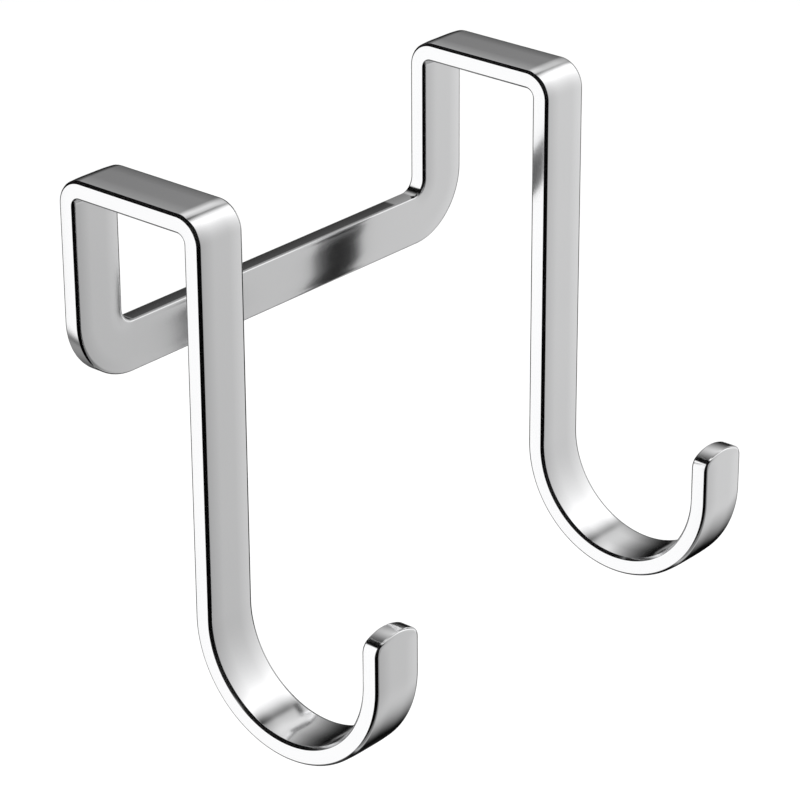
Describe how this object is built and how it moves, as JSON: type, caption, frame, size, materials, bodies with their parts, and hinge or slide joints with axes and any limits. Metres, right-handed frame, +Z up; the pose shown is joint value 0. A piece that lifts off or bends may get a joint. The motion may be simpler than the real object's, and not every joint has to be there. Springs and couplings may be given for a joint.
{
  "type": "cabinet door hook",
  "caption": "Bent flat-strip chrome hook that hangs over a cabinet door's top edge, with a cross bar behind the door, straps over it and J-shaped hooks with arched tips in front.",
  "frame": {"origin": "midway between the hooks, in the middle of the door's thickness, on the undersides of the straps, level with the door's top edge", "axes": "+X along the door from the left hook to the right one as seen from the front, +Y through the door into the cabinet, +Z up"},
  "size_m": [0.08, 0.0557, 0.0745],
  "materials": {
    "chrome": "bright mirror-polished chrome plate on a bent flat strip with finely eased edges"
  },
  "bodies": {
    "root": {"door_hook": "chrome"}
  },
  "joints": []
}
